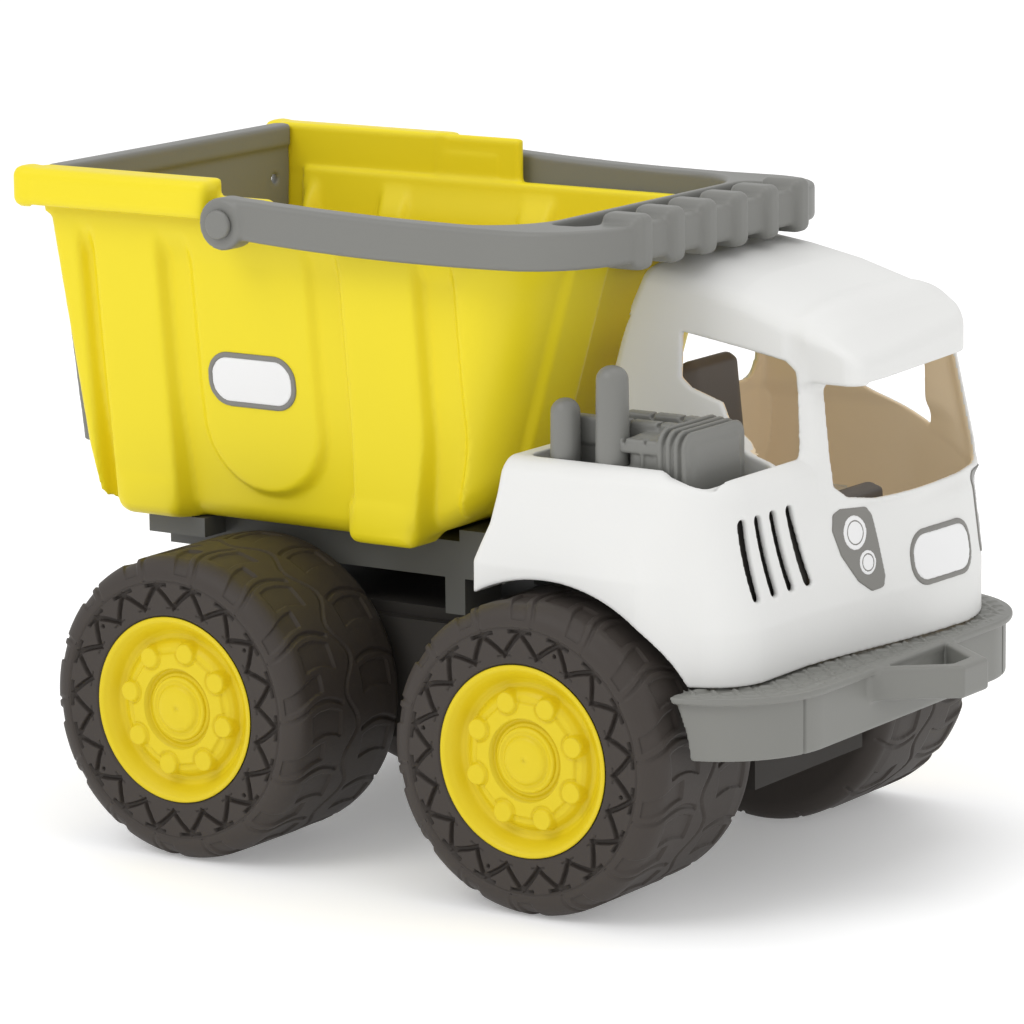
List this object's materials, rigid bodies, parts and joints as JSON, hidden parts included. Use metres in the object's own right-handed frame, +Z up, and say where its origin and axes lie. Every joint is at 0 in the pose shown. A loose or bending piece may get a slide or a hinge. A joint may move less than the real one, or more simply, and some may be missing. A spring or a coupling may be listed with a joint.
{
  "type": "toy dump truck",
  "caption": "Toy dump truck with a tilting lift-off bucket, hinged tailgate, swinging carry handle, offset cab and free-rolling wheels.",
  "frame": {"origin": "on the ground, midway between the rear flange and the tow loop, on the truck's centre line", "axes": "+X to the front, +Y to the truck's left, +Z up"},
  "size_m": [0.334, 0.209, 0.2275],
  "materials": {
    "yellow_plastic": "satin moulded polypropylene",
    "white_plastic": "satin moulded polypropylene",
    "gray_plastic": "matte moulded polypropylene",
    "chassis_plastic": "matte moulded polypropylene, dark",
    "tyre_plastic": "blow-moulded hard plastic, dark brown-black",
    "trim_gray": "printed trim",
    "lens_white": "printed lens",
    "steel": "bright steel wire"
  },
  "bodies": {
    "chassis": {"chassis": "chassis_plastic", "cradle_hinge_pin": "steel", "front_bumper": "gray_plastic", "cab_shell": "white_plastic", "seat_and_floor": "chassis_plastic", "engine_block": "gray_plastic", "exhaust_stack_short": "gray_plastic", "exhaust_stack_tall": "gray_plastic", "headlight_bezel_right": "trim_gray", "headlight_bezel_left": "trim_gray", "headlight_lenses_right": "lens_white", "headlight_lenses_left": "lens_white", "nose_badge": "trim_gray", "axle_front": "steel", "axle_rear": "steel", "axle_push_nuts": "steel", "chassis_screws": "steel"},
    "cradle": {"cradle": "chassis_plastic"},
    "bucket": {"bucket": "yellow_plastic", "bucket_badge_right": "trim_gray", "bucket_badge_left": "trim_gray", "handle_rivet_right": "gray_plastic", "handle_rivet_left": "gray_plastic"},
    "tailgate": {"tailgate": "gray_plastic"},
    "handle": {"handle": "gray_plastic"},
    "wheel_front_right": {"tyre_front_right": "tyre_plastic", "hub_front_right": "yellow_plastic", "hub_cap_front_right": "yellow_plastic"},
    "wheel_front_left": {"tyre_front_left": "tyre_plastic", "hub_front_left": "yellow_plastic", "hub_cap_front_left": "yellow_plastic"},
    "wheel_rear_right": {"tyre_rear_right": "tyre_plastic", "hub_rear_right": "yellow_plastic", "hub_cap_rear_right": "yellow_plastic"},
    "wheel_rear_left": {"tyre_rear_left": "tyre_plastic", "hub_rear_left": "yellow_plastic", "hub_cap_rear_left": "yellow_plastic"}
  },
  "joints": [
    {"name": "cradle_tilt", "type": "hinge", "parent": "chassis", "child": "cradle", "pos_m": [-0.118, 0, 0.084], "axis": [0, -1, 0], "range_deg": [0, 45]},
    {"name": "bucket_lift", "type": "slide", "parent": "cradle", "child": "bucket", "axis": [0, 0, 1], "range_m": [0, 0.12]},
    {"name": "tailgate_swing", "type": "hinge", "parent": "bucket", "child": "tailgate", "pos_m": [-0.1565, 0, 0.223], "axis": [0, 1, 0], "range_deg": [0, 70]},
    {"name": "handle_swing", "type": "hinge", "parent": "bucket", "child": "handle", "pos_m": [-0.075, 0, 0.214], "axis": [0, -1, 0], "range_deg": [0, 95]},
    {"name": "wheel_front_right_spin", "type": "hinge", "parent": "chassis", "child": "wheel_front_right", "pos_m": [0.058, 0, 0.052], "axis": [0, 1, 0], "continuous": true},
    {"name": "wheel_front_left_spin", "type": "hinge", "parent": "chassis", "child": "wheel_front_left", "pos_m": [0.058, 0, 0.052], "axis": [0, 1, 0], "continuous": true},
    {"name": "wheel_rear_right_spin", "type": "hinge", "parent": "chassis", "child": "wheel_rear_right", "pos_m": [-0.082, 0, 0.052], "axis": [0, 1, 0], "continuous": true},
    {"name": "wheel_rear_left_spin", "type": "hinge", "parent": "chassis", "child": "wheel_rear_left", "pos_m": [-0.082, 0, 0.052], "axis": [0, 1, 0], "continuous": true}
  ]
}
